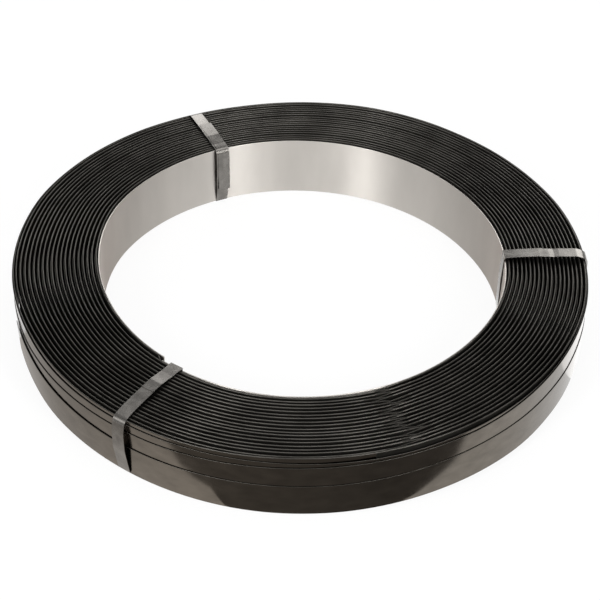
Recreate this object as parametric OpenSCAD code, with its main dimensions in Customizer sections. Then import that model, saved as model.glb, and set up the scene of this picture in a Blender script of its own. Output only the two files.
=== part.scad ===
// Coil of heavy steel strapping, lying on its end and held by three tie bands.
// The strap is wound in three places across the width: high, middle, low, then high again. So only
// every third turn reaches an end, and the turns show there as rings with deep gaps between them.
// Millimetres. +Z is the coil's axis, z = 0 is the floor, and azimuth 0 is along +X.

/* [Strap] */
// Width of the strap
strap_w = 35; // [20:0.5:50]
// Thickness of the strap
strap_t = 1.27; // [0.5:0.01:2]
// Air between one turn and the next
turn_gap = 0.13; // [0.02:0.01:0.4]

/* [Winding] */
// Sideways step of the strap from one place to the next
traverse = 16.5; // [8:0.5:17]
// Full rounds of the three places
cycles = 19; // [4:1:30]

/* [Liner] */
// Inside diameter of the liner, which is the coil's bore
bore_d = 406; // [300:1:508]
// Thickness of the liner
liner_t = 1; // [0.5:0.1:3]
// Clearance between the liner and the first turn
liner_clear = 0.5; // [0.1:0.1:1]

/* [Tie bands] */
// Width of a band
tie_w = 13; // [8:0.5:19]
// Thickness of a band
tie_t = 0.5; // [0.3:0.05:0.8]
// Clearance between a band and what it holds
tie_clear = 0.1; // [0.05:0.05:0.3]
// Height of the top leg's ends above the coil
tie_rise = 0.8; // [0.4:0.1:3]
// Inside radius of the folds
fold_r = 1.2; // [0.5:0.1:3]
// Inside radius of the bend over the coil's outer top edge
shoulder_r = 6; // [1:0.5:12]
// How far the top leg arches up between its ends
top_arch = 2.5; // [0.5:0.1:6]
// How far the outer leg bows out between its ends
side_bow = 2.5; // [0.5:0.1:6]
// Straight stretch between a fold and the bow of a leg
bow_land = 1; // [0.5:0.1:3]
// Distance of the lap from the inner fold on the top leg
lap_start = 2; // [1.5:0.5:20]
// Length over which the band's upper end laps the lower one
lap_len = 38; // [15:1:45]

/* [Tie places] */
// Azimuth of the band on the right
right_angle = 3; // [-20:1:30]
// Azimuth of the band at the back
back_angle = 116; // [90:1:150]
// Azimuth of the band at the front
front_angle = 237; // [210:1:270]

/* [Hidden] */
$fn = 240;

// Winding: places of the strap across the width, in the order in which the turns take them
places = [2, 1, 0];
turns = len(places) * cycles;
turn_pitch = strap_t + turn_gap;
coil_w = strap_w + 2 * traverse;
bore_r = bore_d / 2;
wind_r = bore_r + liner_t + liner_clear;
coil_z = tie_t;

// Tie bands: inside faces of the legs, and the radius of the outer bend that the coil leaves room for
leg_in = sqrt(pow(bore_r - tie_clear, 2) - pow(tie_w / 2, 2));
leg_out = turn_r(turns - 1) + strap_t + tie_clear + fold_r;
leg_top = coil_z + coil_w + tie_rise;
edge_gap = leg_out - turn_r(turns - 3) - strap_t;
shoulder = min(shoulder_r, edge_gap + tie_rise + sqrt(2 * edge_gap * tie_rise));
top_len = leg_out - leg_in - fold_r - shoulder;
side_len = leg_top - coil_z - fold_r - shoulder;

// Inside radius of a turn, counted from the bore
function turn_r(i) = wind_r + i * turn_pitch;

// Lower edge of a turn above the coil's lower end
function turn_z(i) = places[i % len(places)] * traverse;

// Half of the winding's section: every turn as a strip, joined through the packed middle
module winding_section() {
    for (i = [0 : turns - 1])
        translate([turn_r(i), turn_z(i)])
            square([strap_t, strap_w]);
    translate([wind_r, traverse])
        square([turn_r(turns - 2) - wind_r, strap_w]);
    translate([wind_r, traverse])
        square([turn_r(turns - 1) - wind_r, strap_w - traverse]);
}

module strapping_coil() {
    color([0.14, 0.14, 0.14])
        translate([0, 0, coil_z])
            rotate_extrude()
                winding_section();
}

// The liner stands back from both ends, so that the folds of the bands clear its edges
module bore_liner() {
    color([0.76, 0.75, 0.73])
        translate([0, 0, coil_z + fold_r])
            difference() {
                cylinder(h = coil_w - 2 * fold_r, r = bore_r + liner_t);
                translate([0, 0, -fold_r])
                    cylinder(h = coil_w, r = bore_r);
            }
}

// Bow of a given height on a straight leg along X that is centred on the origin
module bow(leg, height) {
    chord = leg - 2 * bow_land;
    r = (pow(chord / 2, 2) + pow(height, 2)) / (2 * height);
    intersection() {
        translate([0, height - r])
            circle(r = r);
        translate([-leg / 2, -bow_land])
            square([leg, 2 * height + bow_land]);
    }
}

// Space inside a band's loop, as radius and height, grown by the band's layers
module tie_outline(grow) {
    fold = fold_r + grow;
    bend = shoulder + grow;
    in = leg_in - grow;
    out = leg_out + grow;
    low = coil_z - grow;
    high = leg_top + grow;
    polygon([
        [in + fold, low],
        [out - fold, low],
        [out, low + fold],
        [out, high - bend],
        [out - bend, high],
        [in + fold, high],
        [in, high - fold],
        [in, low + fold]
    ]);
    for (corner = [[in + fold, low + fold], [out - fold, low + fold], [in + fold, high - fold]])
        translate(corner)
            circle(r = fold);
    translate([out - bend, high - bend])
        circle(r = bend);
    translate([in + fold + top_len / 2, high])
        bow(top_len, top_arch);
    translate([out, low + fold + side_len / 2])
        rotate(-90)
            bow(side_len, side_bow);
}

// One layer of the band round the loop
module tie_layer(inside) {
    difference() {
        tie_outline(inside + tie_t);
        tie_outline(inside);
    }
}

// Band round the coil's section at one azimuth, with its lapped end on the top leg
module tie_band(angle) {
    color([0.60, 0.58, 0.55])
        rotate([90, 0, angle])
            linear_extrude(height = tie_w, center = true) {
                tie_layer(0);
                intersection() {
                    tie_layer(tie_t);
                    translate([leg_in + fold_r + lap_start, leg_top])
                        square([lap_len, 2 * top_arch + 2 * tie_t]);
                }
            }
}

module tie_band_right() {
    tie_band(right_angle);
}

module tie_band_back() {
    tie_band(back_angle);
}

module tie_band_front() {
    tie_band(front_angle);
}

strapping_coil();
bore_liner();
tie_band_right();
tie_band_back();
tie_band_front();
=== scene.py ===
"""Looks of a steel strapping coil: its wound strap, bore liner and tie bands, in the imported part's frame."""

import math
import random

import bpy
from mathutils import Matrix, Vector


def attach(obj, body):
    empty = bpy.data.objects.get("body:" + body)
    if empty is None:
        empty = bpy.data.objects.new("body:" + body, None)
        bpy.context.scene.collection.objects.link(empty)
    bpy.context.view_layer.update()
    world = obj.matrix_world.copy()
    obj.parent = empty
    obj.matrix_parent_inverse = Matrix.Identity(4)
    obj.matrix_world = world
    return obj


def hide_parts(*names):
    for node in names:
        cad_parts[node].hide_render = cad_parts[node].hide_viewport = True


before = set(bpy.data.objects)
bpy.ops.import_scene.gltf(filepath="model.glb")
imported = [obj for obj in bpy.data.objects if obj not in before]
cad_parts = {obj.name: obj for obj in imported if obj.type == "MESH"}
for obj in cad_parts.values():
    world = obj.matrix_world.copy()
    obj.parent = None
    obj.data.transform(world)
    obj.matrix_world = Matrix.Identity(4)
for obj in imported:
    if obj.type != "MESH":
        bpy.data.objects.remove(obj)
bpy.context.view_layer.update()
rng = random.Random(7)

# Metres in a millimetre, and degrees in a turn
MM = 0.001
TURN = 360.0

# Sizes in mm, as in the part's source
BORE_R, LINER_T, LINER_CLEAR = 203.0, 1.0, 0.5
STRAP_W, STRAP_T, TURN_GAP, TRAVERSE = 35.0, 1.27, 0.13, 16.5
TIE_W, TIE_T = 13.0, 0.5
COIL_H = STRAP_W + 2 * TRAVERSE
COIL_TOP = TIE_T + COIL_H
FIRST_R = BORE_R + LINER_T + LINER_CLEAR
PITCH = STRAP_T + TURN_GAP

# The liner stands at these heights, and the first turn keeps off it, also just past its ends
LINER_LOW, LINER_HIGH = 0.6, 67.3
LINER_GAP, LINER_END_WAY = 0.1, 0.6

# The strap winds outwards from INNER_END as the azimuth falls. Turns count from there.
# The last ones are loose and thinner, and from OUTER_TURN on all have the outer shift.
INNER_END, LATE_TURN, LAST_TURN = 232.0, 56.1, 58.1
LATE_T, LATE_PITCH = 0.55, 0.65
THIN_FROM, THIN_TO = 54.9, 55.2
LOOSE_FROM, LOOSE_TO = 54.80, 54.93
OUTER_TURN = 54

# The coil is out of round: radial shift of the liner, the first turn and the outer turns at an azimuth
SHIFT_LINER = [
    (-128, -1.9), (-118, -1.5), (-102, -0.3), (-94, 0.2), (-46, -1.5), (-14, -0.1), (10, -0.1),
    (30, -1), (60, -1), (100, 0), (152, 0.8), (162, 0), (190, -5.7), (212, -7.2), (232, -6.4),
]
SHIFT_IN = [
    (10, 1.2), (40, 0.7), (140, 2), (150, 2.2), (160, 1.5), (170, -1.1), (180, -3.2), (190, -5.5),
    (210, -7.1), (230, -6.4), (242, -4.6), (258, -2.9), (266, -2.9), (300, -2.4), (310, -2.6),
    (330, -1.9), (338, -1), (346, -0.3), (354, 0.8),
]
SHIFT_OUT = [
    (10, 0.2), (20, 0.7), (30, 0), (42, 0), (52, -0.1), (60, 0.7), (73, 1.5), (80, 0.9), (98, -2),
    (104, -3), (120, -3), (130, -1.6), (160, 0.8), (170, -0.3), (190, -2.6), (200, -4.8), (210, -6),
    (242, -3.6), (258, -2.8), (300, -3.3), (322, -2.9), (338, -1.5), (346, -0.5), (354, -0.2),
]

# The last turns, at a count of turns: depth of the upper edge below the top, worked out from the lap lines
# in the photo and then corrected against renders, and slack of the free end
LATE_TOPS = [
    (54.6, 0.3), (55.2, 0.3), (55.7, 1.8), (55.811, 3.6), (55.839, 5.4), (55.881, 6.2), (55.936, 4.9),
    (56.006, 4.6), (56.033, 5.2), (56.06, 4.8), (56.12, 1.6), (56.73, 2.8), (56.797, 6.5),
    (56.825, 7.1), (56.881, 10.4), (56.936, 12), (56.964, 13.4), (56.992, 13.9), (57.047, 17.4),
    (57.061, 19.2), (57.075, 22), (57.3, 26.5), (57.65, 28.5), (57.714, 27.5), (57.742, 25.6),
    (57.797, 25.5), (57.88, 32.8), (57.936, 32.8), (57.992, 32.4), (58.047, 30.2), (58.075, 29.6),
    (58.1, 28),
]
SLACK = [(57.9, 0.0), (57.95, 0.15), (58.0, 0.4), (58.1, 0.6)]

# Looseness of the last turns at an azimuth, and how far the outer turns lean in towards their foot
LOOSE = [
    (16, 0), (150, 0.1), (160, 0.6), (190, 1.4), (200, 2.3), (210, 2.9), (235, 3), (257, 2), (270, 1.2),
    (282, 1.7), (295, 2.6), (315, 2.6), (326, 2), (342, 0.5), (350, 0.3),
]
LEAN = [
    (180, 0), (200, 1.8), (215, 1.6), (225, 3), (235, 4), (245, 3.6), (265, 1.6), (275, 1.2),
    (295, -0.7), (305, -2), (315, -2.2), (325, -0.8), (335, 0),
]

# Places of the strap as depths below the top, from high to low, and azimuths of its way from each to the next
DEPTHS = [0.0, TRAVERSE, 2 * TRAVERSE]
WAYS = [(300.0, 262.0), (306.0, 262.0), (322.0, 288.0)]
CROSSOVER = 281.0
STRETCHES = 58

# How far the turns in the middle place ride up at an azimuth
MIDDLE_RISE = [(158, 0), (174, 11), (196, 11), (206, 0), (318, 0), (340, 11), (362, 11), (378, 0)]

# A stretch between two crossovers starts a little off and, except in the low place, lies a little too low
TOP_STRAY, WAY_STRAY = 1.0, 3.0
tops = [DEPTHS[s % 3] + (rng.uniform(0.0, TOP_STRAY) if s % 3 < 2 else 0.0) for s in range(STRETCHES)]
strays = [rng.uniform(-WAY_STRAY, WAY_STRAY) for s in range(STRETCHES)]


def smooth_curve(points, x, period=None):
    """Smooth line through (x, y) points, with their own slopes; it repeats after a period if one is given."""
    if period:
        x = (x - points[0][0]) % period + points[0][0]
        first, second, last = points[0], points[1], points[-1]
        points = [(last[0] - period, last[1]), *points]
        points += [(first[0] + period, first[1]), (second[0] + period, second[1])]
    if x <= points[0][0]:
        return points[0][1]
    if x >= points[-1][0]:
        return points[-1][1]
    i = next(k for k in range(len(points) - 1) if points[k + 1][0] >= x)

    def slope(k):
        a, b = points[max(k - 1, 0)], points[min(k + 1, len(points) - 1)]
        return (b[1] - a[1]) / (b[0] - a[0])

    (x0, y0), (x1, y1) = points[i], points[i + 1]
    step = x1 - x0
    t = (x - x0) / step
    return (
        y0 * (1 + 2 * t) * (1 - t) ** 2
        + y1 * t * t * (3 - 2 * t)
        + slope(i) * step * t * (1 - t) ** 2
        - slope(i + 1) * step * t * t * (1 - t)
    )


def ramp(x, start, end):
    """Soft step from 0 at start to 1 at end."""
    t = min(max((x - start) / (end - start), 0.0), 1.0)
    return t * t * (3 - 2 * t)


def polar(r, azimuth, z):
    """Point in metres at a radius, azimuth and height."""
    a = math.radians(azimuth)
    return (r * math.cos(a) * MM, r * math.sin(a) * MM, z * MM)


def make(name, verts, faces, node, slot, materials, kinds=None, sharp=35):
    """Adds a mesh piece that stands for a CAD node; kinds says which of the materials each face takes."""
    mesh = bpy.data.meshes.new(name)
    mesh.from_pydata(verts, [], faces)
    mesh.polygons.foreach_set("use_smooth", [True] * len(mesh.polygons))
    mesh.set_sharp_from_angle(angle=math.radians(sharp))
    for material in materials:
        mesh.materials.append(material)
    if kinds:
        mesh.polygons.foreach_set("material_index", kinds)
    piece = bpy.data.objects.new(name, mesh)
    bpy.context.scene.collection.objects.link(piece)
    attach(piece, "root")
    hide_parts(node)
    return piece


def sweep(rings, closed=False):
    """Vertices and faces of a tube through rings of points; its ends are joined or capped."""
    n = len(rings[0])
    verts = [p for ring in rings for p in ring]
    faces = []
    for k in range(len(rings) if closed else len(rings) - 1):
        a, b = k * n, (k + 1) % len(rings) * n
        faces += [(a + i, a + (i + 1) % n, b + (i + 1) % n, b + i) for i in range(n)]
    if not closed:
        faces.append(tuple(reversed(range(n))))
        faces.append(tuple(range(len(verts) - n, len(verts))))
    return verts, faces


# Materials

ROUGH_SPREAD = 0.05
QUARTER_TURN = 0.25


def new_material(name):
    material = bpy.data.materials.new(name)
    material.use_nodes = True
    nodes = material.node_tree.nodes
    return material, nodes, material.node_tree.links, nodes["Principled BSDF"]


def add_node(nodes, kind, **values):
    """Adds a shader node, with values for its sockets or its own settings."""
    node = nodes.new(kind)
    for key, value in values.items():
        if key in node.inputs:
            node.inputs[key].default_value = value
        else:
            setattr(node, key, value)
    return node


def colours(nodes, low, high, start=0.3, end=0.7):
    """Adds a blend from one colour to another."""
    node = nodes.new("ShaderNodeValToRGB")
    node.color_ramp.elements[0].position = start
    node.color_ramp.elements[0].color = (*low, 1)
    node.color_ramp.elements[1].position = end
    node.color_ramp.elements[1].color = (*high, 1)
    return node


def grain(nodes, links, stretch, fineness):
    """Adds a noise in object space."""
    place = nodes.new("ShaderNodeTexCoord")
    mapping = add_node(nodes, "ShaderNodeMapping", Scale=stretch)
    noise = add_node(nodes, "ShaderNodeTexNoise", Scale=fineness, Detail=5)
    links.new(place.outputs["Object"], mapping.inputs["Vector"])
    links.new(mapping.outputs["Vector"], noise.inputs["Vector"])
    return noise


def metal(name, dark, light, rough, stretch, fineness, brushed=0.0, rim=(1, 1, 1)):
    """Metal finish whose colour and roughness follow a noise.

    A brushed one has its grain round the coil, and the rim tints what it reflects at a flat angle.
    """
    material, nodes, links, shader = new_material(name)
    noise = grain(nodes, links, stretch, fineness)
    base = colours(nodes, dark, light)
    dull = nodes.new("ShaderNodeMapRange")
    dull.inputs["To Min"].default_value = rough - ROUGH_SPREAD
    dull.inputs["To Max"].default_value = rough + ROUGH_SPREAD
    links.new(noise.outputs["Fac"], base.inputs["Fac"])
    links.new(noise.outputs["Fac"], dull.inputs["Value"])
    links.new(base.outputs["Color"], shader.inputs["Base Color"])
    links.new(dull.outputs["Result"], shader.inputs["Roughness"])
    shader.inputs["Metallic"].default_value = 1.0
    shader.inputs["Specular Tint"].default_value = (*rim, 1)
    if brushed:
        shader.inputs["Anisotropic"].default_value = brushed
        shader.inputs["Anisotropic Rotation"].default_value = QUARTER_TURN
        tangent = add_node(nodes, "ShaderNodeTangent", direction_type="RADIAL", axis="Z")
        links.new(tangent.outputs["Tangent"], shader.inputs["Tangent"])
    return material


FACE = metal("strap_face", (0.142, 0.125, 0.105), (0.188, 0.166, 0.14), 0.17, (1, 1, 2), 60)
EDGE = metal("strap_edge", (0.05, 0.047, 0.042), (0.095, 0.09, 0.081), 0.38, (1, 1, 1), 30)
# Painted shade: a darker, duller copy of the strap for the sides between turns and deep in the coil, where
# shade falls
PAINTED_SHADE = metal("strap_painted_shade", (0.036, 0.034, 0.03), (0.055, 0.052, 0.046), 0.55, (1, 1, 1), 30)
TIE = metal("tie_steel", (0.165, 0.156, 0.145), (0.255, 0.242, 0.226), 0.27, (1, 1, 1), 110)
LINER = metal(
    "liner_steel", (0.55, 0.522, 0.487), (0.61, 0.58, 0.542), 0.45, (1, 1, 0.3), 40,
    brushed=0.9, rim=(0.05, 0, 0),
)


# Winding: one strap, swept from its inner end to its outer end in two stretches

STEPS_PER_TURN = 200
HALFWAY_TURN = 29
EDGE_KIND, FACE_KIND, PAINTED_SHADE_KIND = range(3)

# Sides of the strap's section, as strap_section lists them, and the turn after which its outer face is seen;
# the outer faces of the turns before it take the painted shade
SIDES = 14
OUTER_FACES, TOP_EDGE, INNER_FACES = (5, 6, 7), (8, 9, 10, 11), (12, 13, 0)
SHOWN_TURN = 54.85

# A top edge is steep where it moves by this much from a little before a turn to a little after it; before the
# shown turn a steep one takes the painted shade
STEEP, LITTLE_TURN = 2.0, 0.01


def azimuth_at(turn):
    return INNER_END - TURN * turn


def liner_shift(azimuth):
    return smooth_curve(SHIFT_LINER, (azimuth - INNER_END) % TURN + INNER_END - TURN)


def top_depth(turn):
    """Depth of the strap's upper edge below the coil's top."""
    if turn > LATE_TOPS[0][0]:
        return smooth_curve(LATE_TOPS, turn)
    past = turn * TURN - (INNER_END - CROSSOVER + TURN)  # degrees wound since the first crossover
    nearest = math.floor(past / TURN + 0.5)
    if nearest < 0:
        return tops[0]
    beyond = past - nearest * TURN
    start, end = (CROSSOVER - azimuth + strays[nearest] for azimuth in WAYS[nearest % 3])
    place = (nearest + 1 if beyond > 0 else nearest) % 3
    rise = smooth_curve(MIDDLE_RISE, azimuth_at(turn), TURN) if place == 1 else 0
    return tops[nearest] + (tops[nearest + 1] - tops[nearest]) * ramp(beyond, start, end) - rise


def strap_r(turn):
    """Radius of the strap's inner face, which stays outside the liner."""
    azimuth = azimuth_at(turn)
    share = min(turn / OUTER_TURN, 1.0)
    shift_in, shift_out = (smooth_curve(shift, azimuth, TURN) for shift in (SHIFT_IN, SHIFT_OUT))
    loose = smooth_curve(LOOSE, azimuth, TURN) * ramp(turn, LOOSE_FROM, LOOSE_TO)
    wound = PITCH * min(turn, LATE_TURN) + LATE_PITCH * max(turn - LATE_TURN, 0)
    r = FIRST_R + wound + (1 - share) * shift_in + share * shift_out + loose + smooth_curve(SLACK, turn)
    return max(r, BORE_R + LINER_T + LINER_GAP + liner_shift(azimuth + LINER_END_WAY))


def lean_at(azimuth, turn):
    """Inward shift of a turn's foot against its top, per mm of height."""
    return smooth_curve(LEAN, azimuth % TURN) * min(turn / OUTER_TURN, 1.0) / COIL_H


def strap_section(t, low, high):
    """Section of the strap with round edges; a second line of points beside them keeps the faces flat."""
    e = t / 2
    bends = [math.radians(180 + 45 * k) for k in range(5)]
    lower = [(0, low + t), *((e + e * math.cos(a), low + e + e * math.sin(a)) for a in bends), (t, low + t)]
    return lower + [(t - x, high + low - z) for x, z in lower]


def strap_ring(turn):
    r, high, azimuth = strap_r(turn), COIL_TOP - top_depth(turn), azimuth_at(turn)
    t = STRAP_T + (LATE_T - STRAP_T) * ramp(turn, THIN_FROM, THIN_TO)
    lean = lean_at(azimuth, turn)
    section = strap_section(t, high - STRAP_W, high)
    return [polar(r + dr - lean * (COIL_TOP - z), azimuth, z) for dr, z in section]


def strap_kinds(turn):
    """Which of edge, face and painted shade each side of the section takes; inner faces, and before the shown
    turn also the outer faces and steep top edges, take the painted shade.
    """
    shown = turn > SHOWN_TURN
    steep = abs(top_depth(turn + LITTLE_TURN) - top_depth(turn - LITTLE_TURN)) > STEEP
    shaded = INNER_FACES if shown else INNER_FACES + OUTER_FACES
    if steep and not shown:
        shaded += TOP_EDGE
    kinds = [PAINTED_SHADE_KIND if side in shaded else EDGE_KIND for side in range(SIDES)]
    if shown:
        for side in OUTER_FACES:
            kinds[side] = FACE_KIND
    return kinds


def add_strap(name, start, end):
    count = round((end - start) * STEPS_PER_TURN)
    turns = [start + (end - start) * k / count for k in range(count + 1)]
    verts, faces = sweep([strap_ring(t) for t in turns])
    kinds = [kind for t in turns[:-1] for kind in strap_kinds(t)] + [EDGE_KIND] * 2
    make(name, verts, faces, "strapping_coil", "black_strap", [EDGE, FACE, PAINTED_SHADE], kinds, sharp=60)


add_strap("strap_inner", 0, HALFWAY_TURN)
add_strap("strap_outer", HALFWAY_TURN, LAST_TURN)


# Liner: a thin band inside the winding, with its ends at the strap's inner end

LINER_STEPS = 300
LINER_BEVEL = 0.2
LINER_START = INNER_END - 0.2
LINER_SPAN = TURN - 0.5


def liner_ring(azimuth):
    r, low, high, e = BORE_R + liner_shift(azimuth), LINER_LOW, LINER_HIGH, LINER_BEVEL
    section = [
        (0, low + e), (e, low), (LINER_T - e, low), (LINER_T, low + e),
        (LINER_T, high - e), (LINER_T - e, high), (e, high), (0, high - e),
    ]
    return [polar(r + dr, azimuth, z) for dr, z in section]


liner_rings = [liner_ring(LINER_START - LINER_SPAN * k / LINER_STEPS) for k in range(LINER_STEPS + 1)]
make("liner", *sweep(liner_rings), "bore_liner", "liner_steel", [LINER])


# Ties: a band folded round the section at an azimuth, its upper end lapped over the top leg

TIE_IN_GAP, TIE_OUT_GAP = 0.4, 0.6
TIE_FOLD_R = 1.2
LAP_SINK = 0.1
CUT_LIMIT = 0.48


def rounded(corners, closed, steps=6):
    """Polyline through (x, z, radius) corners, each rounded by about its radius as far as its sides allow."""
    points, n = [], len(corners)
    for k, (x, z, radius) in enumerate(corners):
        here = Vector((x, z))
        if not closed and k in (0, n - 1):
            points.append(here)
            continue
        before = Vector(corners[k - 1][:2]) - here
        after = Vector(corners[(k + 1) % n][:2]) - here
        half = before.angle(after) / 2
        cut = min(radius / math.tan(half), CUT_LIMIT * before.length, CUT_LIMIT * after.length)
        a, b = here + before.normalized() * cut, here + after.normalized() * cut
        for i in range(steps + 1):
            t = i / steps
            points.append((1 - t) ** 2 * a + 2 * t * (1 - t) * here + t * t * b)
    return points


def band_rings(points, azimuth, closed, lift, shift=0.0):
    """Sections of a band along a polyline of radius and height, as rings of four points."""
    a = math.radians(azimuth)
    out, side = Vector((math.cos(a), math.sin(a), 0)), Vector((-math.sin(a), math.cos(a), 0))
    rings, n = [], len(points)
    for k, p in enumerate(points):
        ahead = points[(k + 1) % n] if closed or k < n - 1 else p
        behind = points[k - 1] if closed or k else p
        along = (ahead - behind).normalized()
        normal = Vector((-along.y, along.x))
        ring = []
        for across, rise in ((-1, lift), (1, lift), (1, lift + TIE_T), (-1, lift + TIE_T)):
            q = p + normal * rise
            ring.append(tuple((out * q.x + side * (across * TIE_W / 2 + shift) + Vector((0, 0, q.y))) * MM))
        rings.append(ring)
    return rings


def lap_path(corners, start, end):
    """Corners of the upper layer, from a radius on the top leg to a height on the inner leg."""
    upper = [c for c in corners if c[0] < start and c[1] > end]
    (r, z, _), (r_before, z_before, _) = upper[0], corners[corners.index(upper[0]) - 1]
    part = (start - r) / (r_before - r)
    return [(start, z + part * (z_before - z) - LAP_SINK, 0), *upper, (upper[-1][0], end, 0)]


def coil_outside(azimuth):
    """Outer radius of the coil at an azimuth."""
    turn = (INNER_END - azimuth) / TURN
    turn += math.floor(LAST_TURN - turn)
    return max(strap_r(turn - k) for k in range(3)) + LATE_T


def add_tie(name, azimuth, foot, side, top, inner, lap, lap_end, lap_shift):
    """Adds a band whose loop runs under the coil, up its outer face, over its top and down the bore.

    The outer leg's points are given from the coil's outer face, those of the inner leg from the liner, and
    those of the top leg as shares of the way out. The upper layer runs from a share of the top leg down to a
    height. Each point has the radius of its bend.
    """
    r_in = BORE_R + liner_shift(azimuth) - TIE_IN_GAP
    r_out = coil_outside(azimuth) + TIE_OUT_GAP
    outer = [(r_out + dr, z, radius) for dr, z, radius in foot + side]
    upper = [(r_in + share * (r_out - r_in), COIL_TOP + rise, radius) for share, rise, radius in top]
    upper += [(r_in - dr, z, radius) for dr, z, radius in inner]
    loop = rounded([(r_in, TIE_T, TIE_FOLD_R), *outer, *upper], True)
    verts, faces = sweep(band_rings(loop, azimuth, True, -TIE_T), True)
    path = rounded(lap_path([outer[-1], *upper], r_in + lap * (r_out - r_in), lap_end), False)
    more, more_faces = sweep(band_rings(path, azimuth, False, -2 * TIE_T, lap_shift))
    faces += [tuple(i + len(verts) for i in face) for face in more_faces]
    make(name, verts + more, faces, name, "tie_steel", [TIE])


add_tie(
    "tie_band_right", 1.6,
    foot=[(0, TIE_T, 1.4)],
    side=[(1.5, 30, 60), (1.0, 52, 40), (0, 67.5, 5)],
    top=[
        (0.95, 1.8, 6), (0.88, 3.7, 8), (0.66, 3.6, 6), (0.6, 3.0, 3), (0.54, 3.3, 6), (0.42, 3.2, 20),
        (0.2, 2.2, 30),
    ],
    inner=[(0, COIL_TOP + 0.5, 1.6), (0.8, 44, 60)],
    lap=0.47, lap_end=COIL_TOP, lap_shift=0,
)
add_tie(
    "tie_band_back", 116,
    foot=[(0, TIE_T, 1.4)],
    side=[(1.0, 30, 60), (0.4, 52, 40), (-1.0, 66.5, 6)],
    top=[(0.9, 2.2, 12), (0.62, 2.7, 12), (0.3, 2.4, 30), (0.1, 1.2, 10)],
    inner=[(4.0, COIL_TOP + 0.9, 7.0), (4.6, 40, 60), (3.0, 14, 30)],
    lap=0.6, lap_end=18, lap_shift=-1.5,
)
add_tie(
    "tie_band_front", 237,
    foot=[(-16, TIE_T, 6), (-3.4, 4.0, 1.4)],
    side=[(1.5, 34, 60), (1.6, 54, 40), (-1.0, 67.5, 9)],
    top=[(0.86, 1.4, 30), (0.7, 2.5, 30), (0.5, 3.2, 8), (0.36, 3.2, 4), (0.17, 0.8, 4)],
    inner=[(0, COIL_TOP + 0.1, 1.2), (0.6, 40, 60)],
    lap=0.5, lap_end=COIL_TOP, lap_shift=0,
)


# Stage: a white floor, and glowing cards on it that only the coil's reflections see, as painted reflections

FLOOR_HALF = 30.0
FLOOR_GLOW = 0.88


def add_plane(name, corners, material):
    mesh = bpy.data.meshes.new(name)
    mesh.from_pydata(corners, [], [tuple(range(len(corners)))])
    mesh.materials.append(material)
    plane = bpy.data.objects.new(name, mesh)
    bpy.context.scene.collection.objects.link(plane)
    return plane


def floor_material():
    """Matt white that glows to the camera and in reflections, so that shadows stay faint."""
    material, nodes, links, shader = new_material("floor")
    shader.inputs["Base Color"].default_value = (0.9, 0.9, 0.9, 1)
    shader.inputs["Roughness"].default_value = 0.9
    shader.inputs["Specular IOR Level"].default_value = 0.0
    glow = nodes.new("ShaderNodeEmission")
    path = nodes.new("ShaderNodeLightPath")
    seen = add_node(nodes, "ShaderNodeMath", operation="MAXIMUM")
    share = add_node(nodes, "ShaderNodeMath", operation="MULTIPLY")
    share.inputs[1].default_value = FLOOR_GLOW
    mix = nodes.new("ShaderNodeMixShader")
    links.new(path.outputs["Is Camera Ray"], seen.inputs[0])
    links.new(path.outputs["Is Glossy Ray"], seen.inputs[1])
    links.new(seen.outputs["Value"], share.inputs[0])
    links.new(share.outputs["Value"], mix.inputs["Fac"])
    links.new(shader.outputs["BSDF"], mix.inputs[1])
    links.new(glow.outputs["Emission"], mix.inputs[2])
    links.new(mix.outputs["Shader"], nodes["Material Output"].inputs["Surface"])
    return material


def painted_reflection_material(name, left, right, span, strength):
    """Glow of a painted reflection, running along x from one grey to another over a span."""
    material, nodes, links, shader = new_material(name)
    place = nodes.new("ShaderNodeTexCoord")
    parts = nodes.new("ShaderNodeSeparateXYZ")
    along = nodes.new("ShaderNodeMapRange")
    along.inputs["From Min"].default_value, along.inputs["From Max"].default_value = span
    tone = colours(nodes, left, right, 0.0, 1.0)
    glow = nodes.new("ShaderNodeEmission")
    glow.inputs["Strength"].default_value = strength
    links.new(place.outputs["Object"], parts.inputs["Vector"])
    links.new(parts.outputs["X"], along.inputs["Value"])
    links.new(along.outputs["Result"], tone.inputs["Fac"])
    links.new(tone.outputs["Color"], glow.inputs["Color"])
    links.new(glow.outputs["Emission"], nodes["Material Output"].inputs["Surface"])
    nodes.remove(shader)
    return material


def add_painted_reflection(name, outline, z, left, right, span, strength=1.0):
    """Glowing card on the floor, its outline and height in mm, that only reflections see: a painted
    reflection.
    """
    corners = [(x * MM, y * MM, z * MM) for x, y in outline]
    flag = add_plane(name, corners, painted_reflection_material(name, left, right, span, strength))
    flag.visible_camera = False
    flag.visible_diffuse = False
    flag.visible_shadow = False


floor_corners = [(x * FLOOR_HALF, y * FLOOR_HALF, 0) for x, y in ((-1, -1), (1, -1), (1, 1), (-1, 1))]
add_plane("floor", floor_corners, floor_material())
# Painted reflection: a dark patch across the front of the coil's outer face
add_painted_reflection(
    "painted_reflection_front",
    [
        (-62, -276), (-84, -286), (-125, -284), (-175, -294), (-330, -345), (-330, -520), (480, -520),
        (480, -262), (222, -266), (182, -264), (140, -269), (105, -270),
    ],
    1.0, (0.22, 0.205, 0.19), (0.13, 0.122, 0.115), (-0.12, 0.1),
)
# Painted reflection: mid grey in the coil's outer face at the front left
add_painted_reflection(
    "painted_reflection_left", [(-60, -60), (-700, -60), (-700, -700), (-60, -700)],
    0.8, (0.55, 0.525, 0.5), (0.88, 0.85, 0.82), (-0.28, -0.12),
)
# Painted reflection: a bright sheen at the right end of the coil's outer face
add_painted_reflection(
    "painted_reflection_right", [(200, -100), (500, -100), (500, 200), (200, 200)],
    0.6, (1, 1, 1), (1, 1, 1), (0.2, 0.5), strength=1.6,
)


# Light: soft panels round the coil that face its middle, each with its place, width, height and watts

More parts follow.
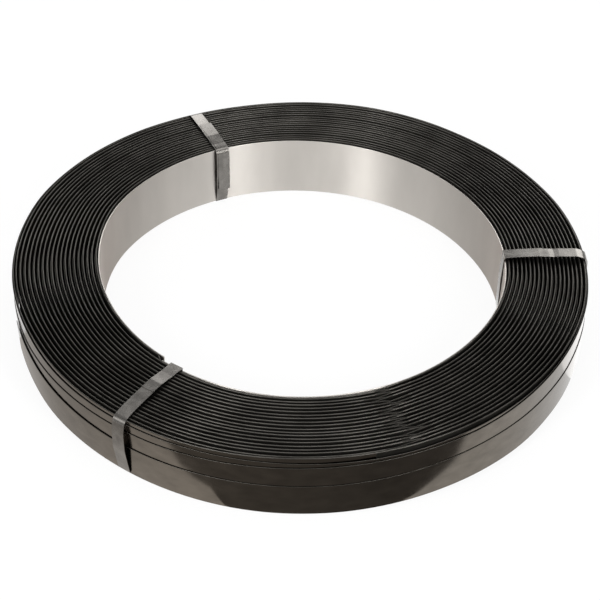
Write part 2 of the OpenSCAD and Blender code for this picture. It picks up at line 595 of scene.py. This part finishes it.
MIDDLE = Vector((0, 0, 0.03))
WORLD_STRENGTH = 0.3
LIGHTS = [
    ("light_left", (-1.25, -1.65, 1.2), 0.35, 1.6, 24),
    ("light_right", (1.25, -1.65, 1.2), 0.35, 1.6, 22),
    ("light_front", (0, -2.2, 1.4), 3.4, 0.8, 30),
    ("light_back_left", (-0.85, 1.9, 1.0), 1.4, 0.8, 13.5),
    ("light_back_right", (0.85, 1.9, 1.0), 1.4, 0.8, 14.5),
    ("light_side_left", (-2.1, -0.8, 1.2), 1.2, 0.8, 5),
    ("light_side_right", (2.1, -0.8, 1.2), 1.2, 0.8, 5),
    ("light_top", (0.2, 0.4, 2.4), 2.2, 1.2, 14),
]


def add_light(name, place, width, height, watts):
    data = bpy.data.lights.new(name, "AREA")
    data.shape = "RECTANGLE"
    data.size, data.size_y = width, height
    data.energy = watts
    light = bpy.data.objects.new(name, data)
    light.location = place
    light.rotation_euler = (MIDDLE - Vector(place)).to_track_quat("-Z", "Y").to_euler()
    bpy.context.scene.collection.objects.link(light)


def add_world():
    world = bpy.data.worlds.new("studio")
    world.use_nodes = True
    sky = world.node_tree.nodes["Background"]
    sky.inputs["Color"].default_value = (1, 1, 1, 1)
    sky.inputs["Strength"].default_value = WORLD_STRENGTH
    bpy.context.scene.world = world


for row in LIGHTS:
    add_light(*row)
add_world()


# Camera: on a circle in front of the coil's middle, aimed a little off it and rolled, as in the photo

ELEVATION, ROLL = math.radians(39.09), math.radians(1.33)
DISTANCE, LENS, SENSOR = 1.4885, 88.67, 36
COIL_MIDDLE_Z = 0.0345
AIM = Vector((0.0009, -0.0302, COIL_MIDDLE_Z))


def add_camera():
    place = Vector((0, -DISTANCE * math.cos(ELEVATION), COIL_MIDDLE_Z + DISTANCE * math.sin(ELEVATION)))
    forward = (AIM - place).normalized()
    right = forward.cross(Vector((0, 0, 1))).normalized()
    up = right.cross(forward)
    c, s = math.cos(ROLL), math.sin(ROLL)
    axes = Matrix((c * right + s * up, c * up - s * right, -forward)).transposed()
    data = bpy.data.cameras.new("camera")
    data.lens = LENS
    data.sensor_width = SENSOR
    data.sensor_fit = "HORIZONTAL"
    camera = bpy.data.objects.new("camera", data)
    camera.matrix_world = Matrix.Translation(place) @ axes.to_4x4()
    bpy.context.scene.collection.objects.link(camera)
    bpy.context.scene.camera = camera


add_camera()
bpy.context.scene.view_settings.view_transform = "Standard"
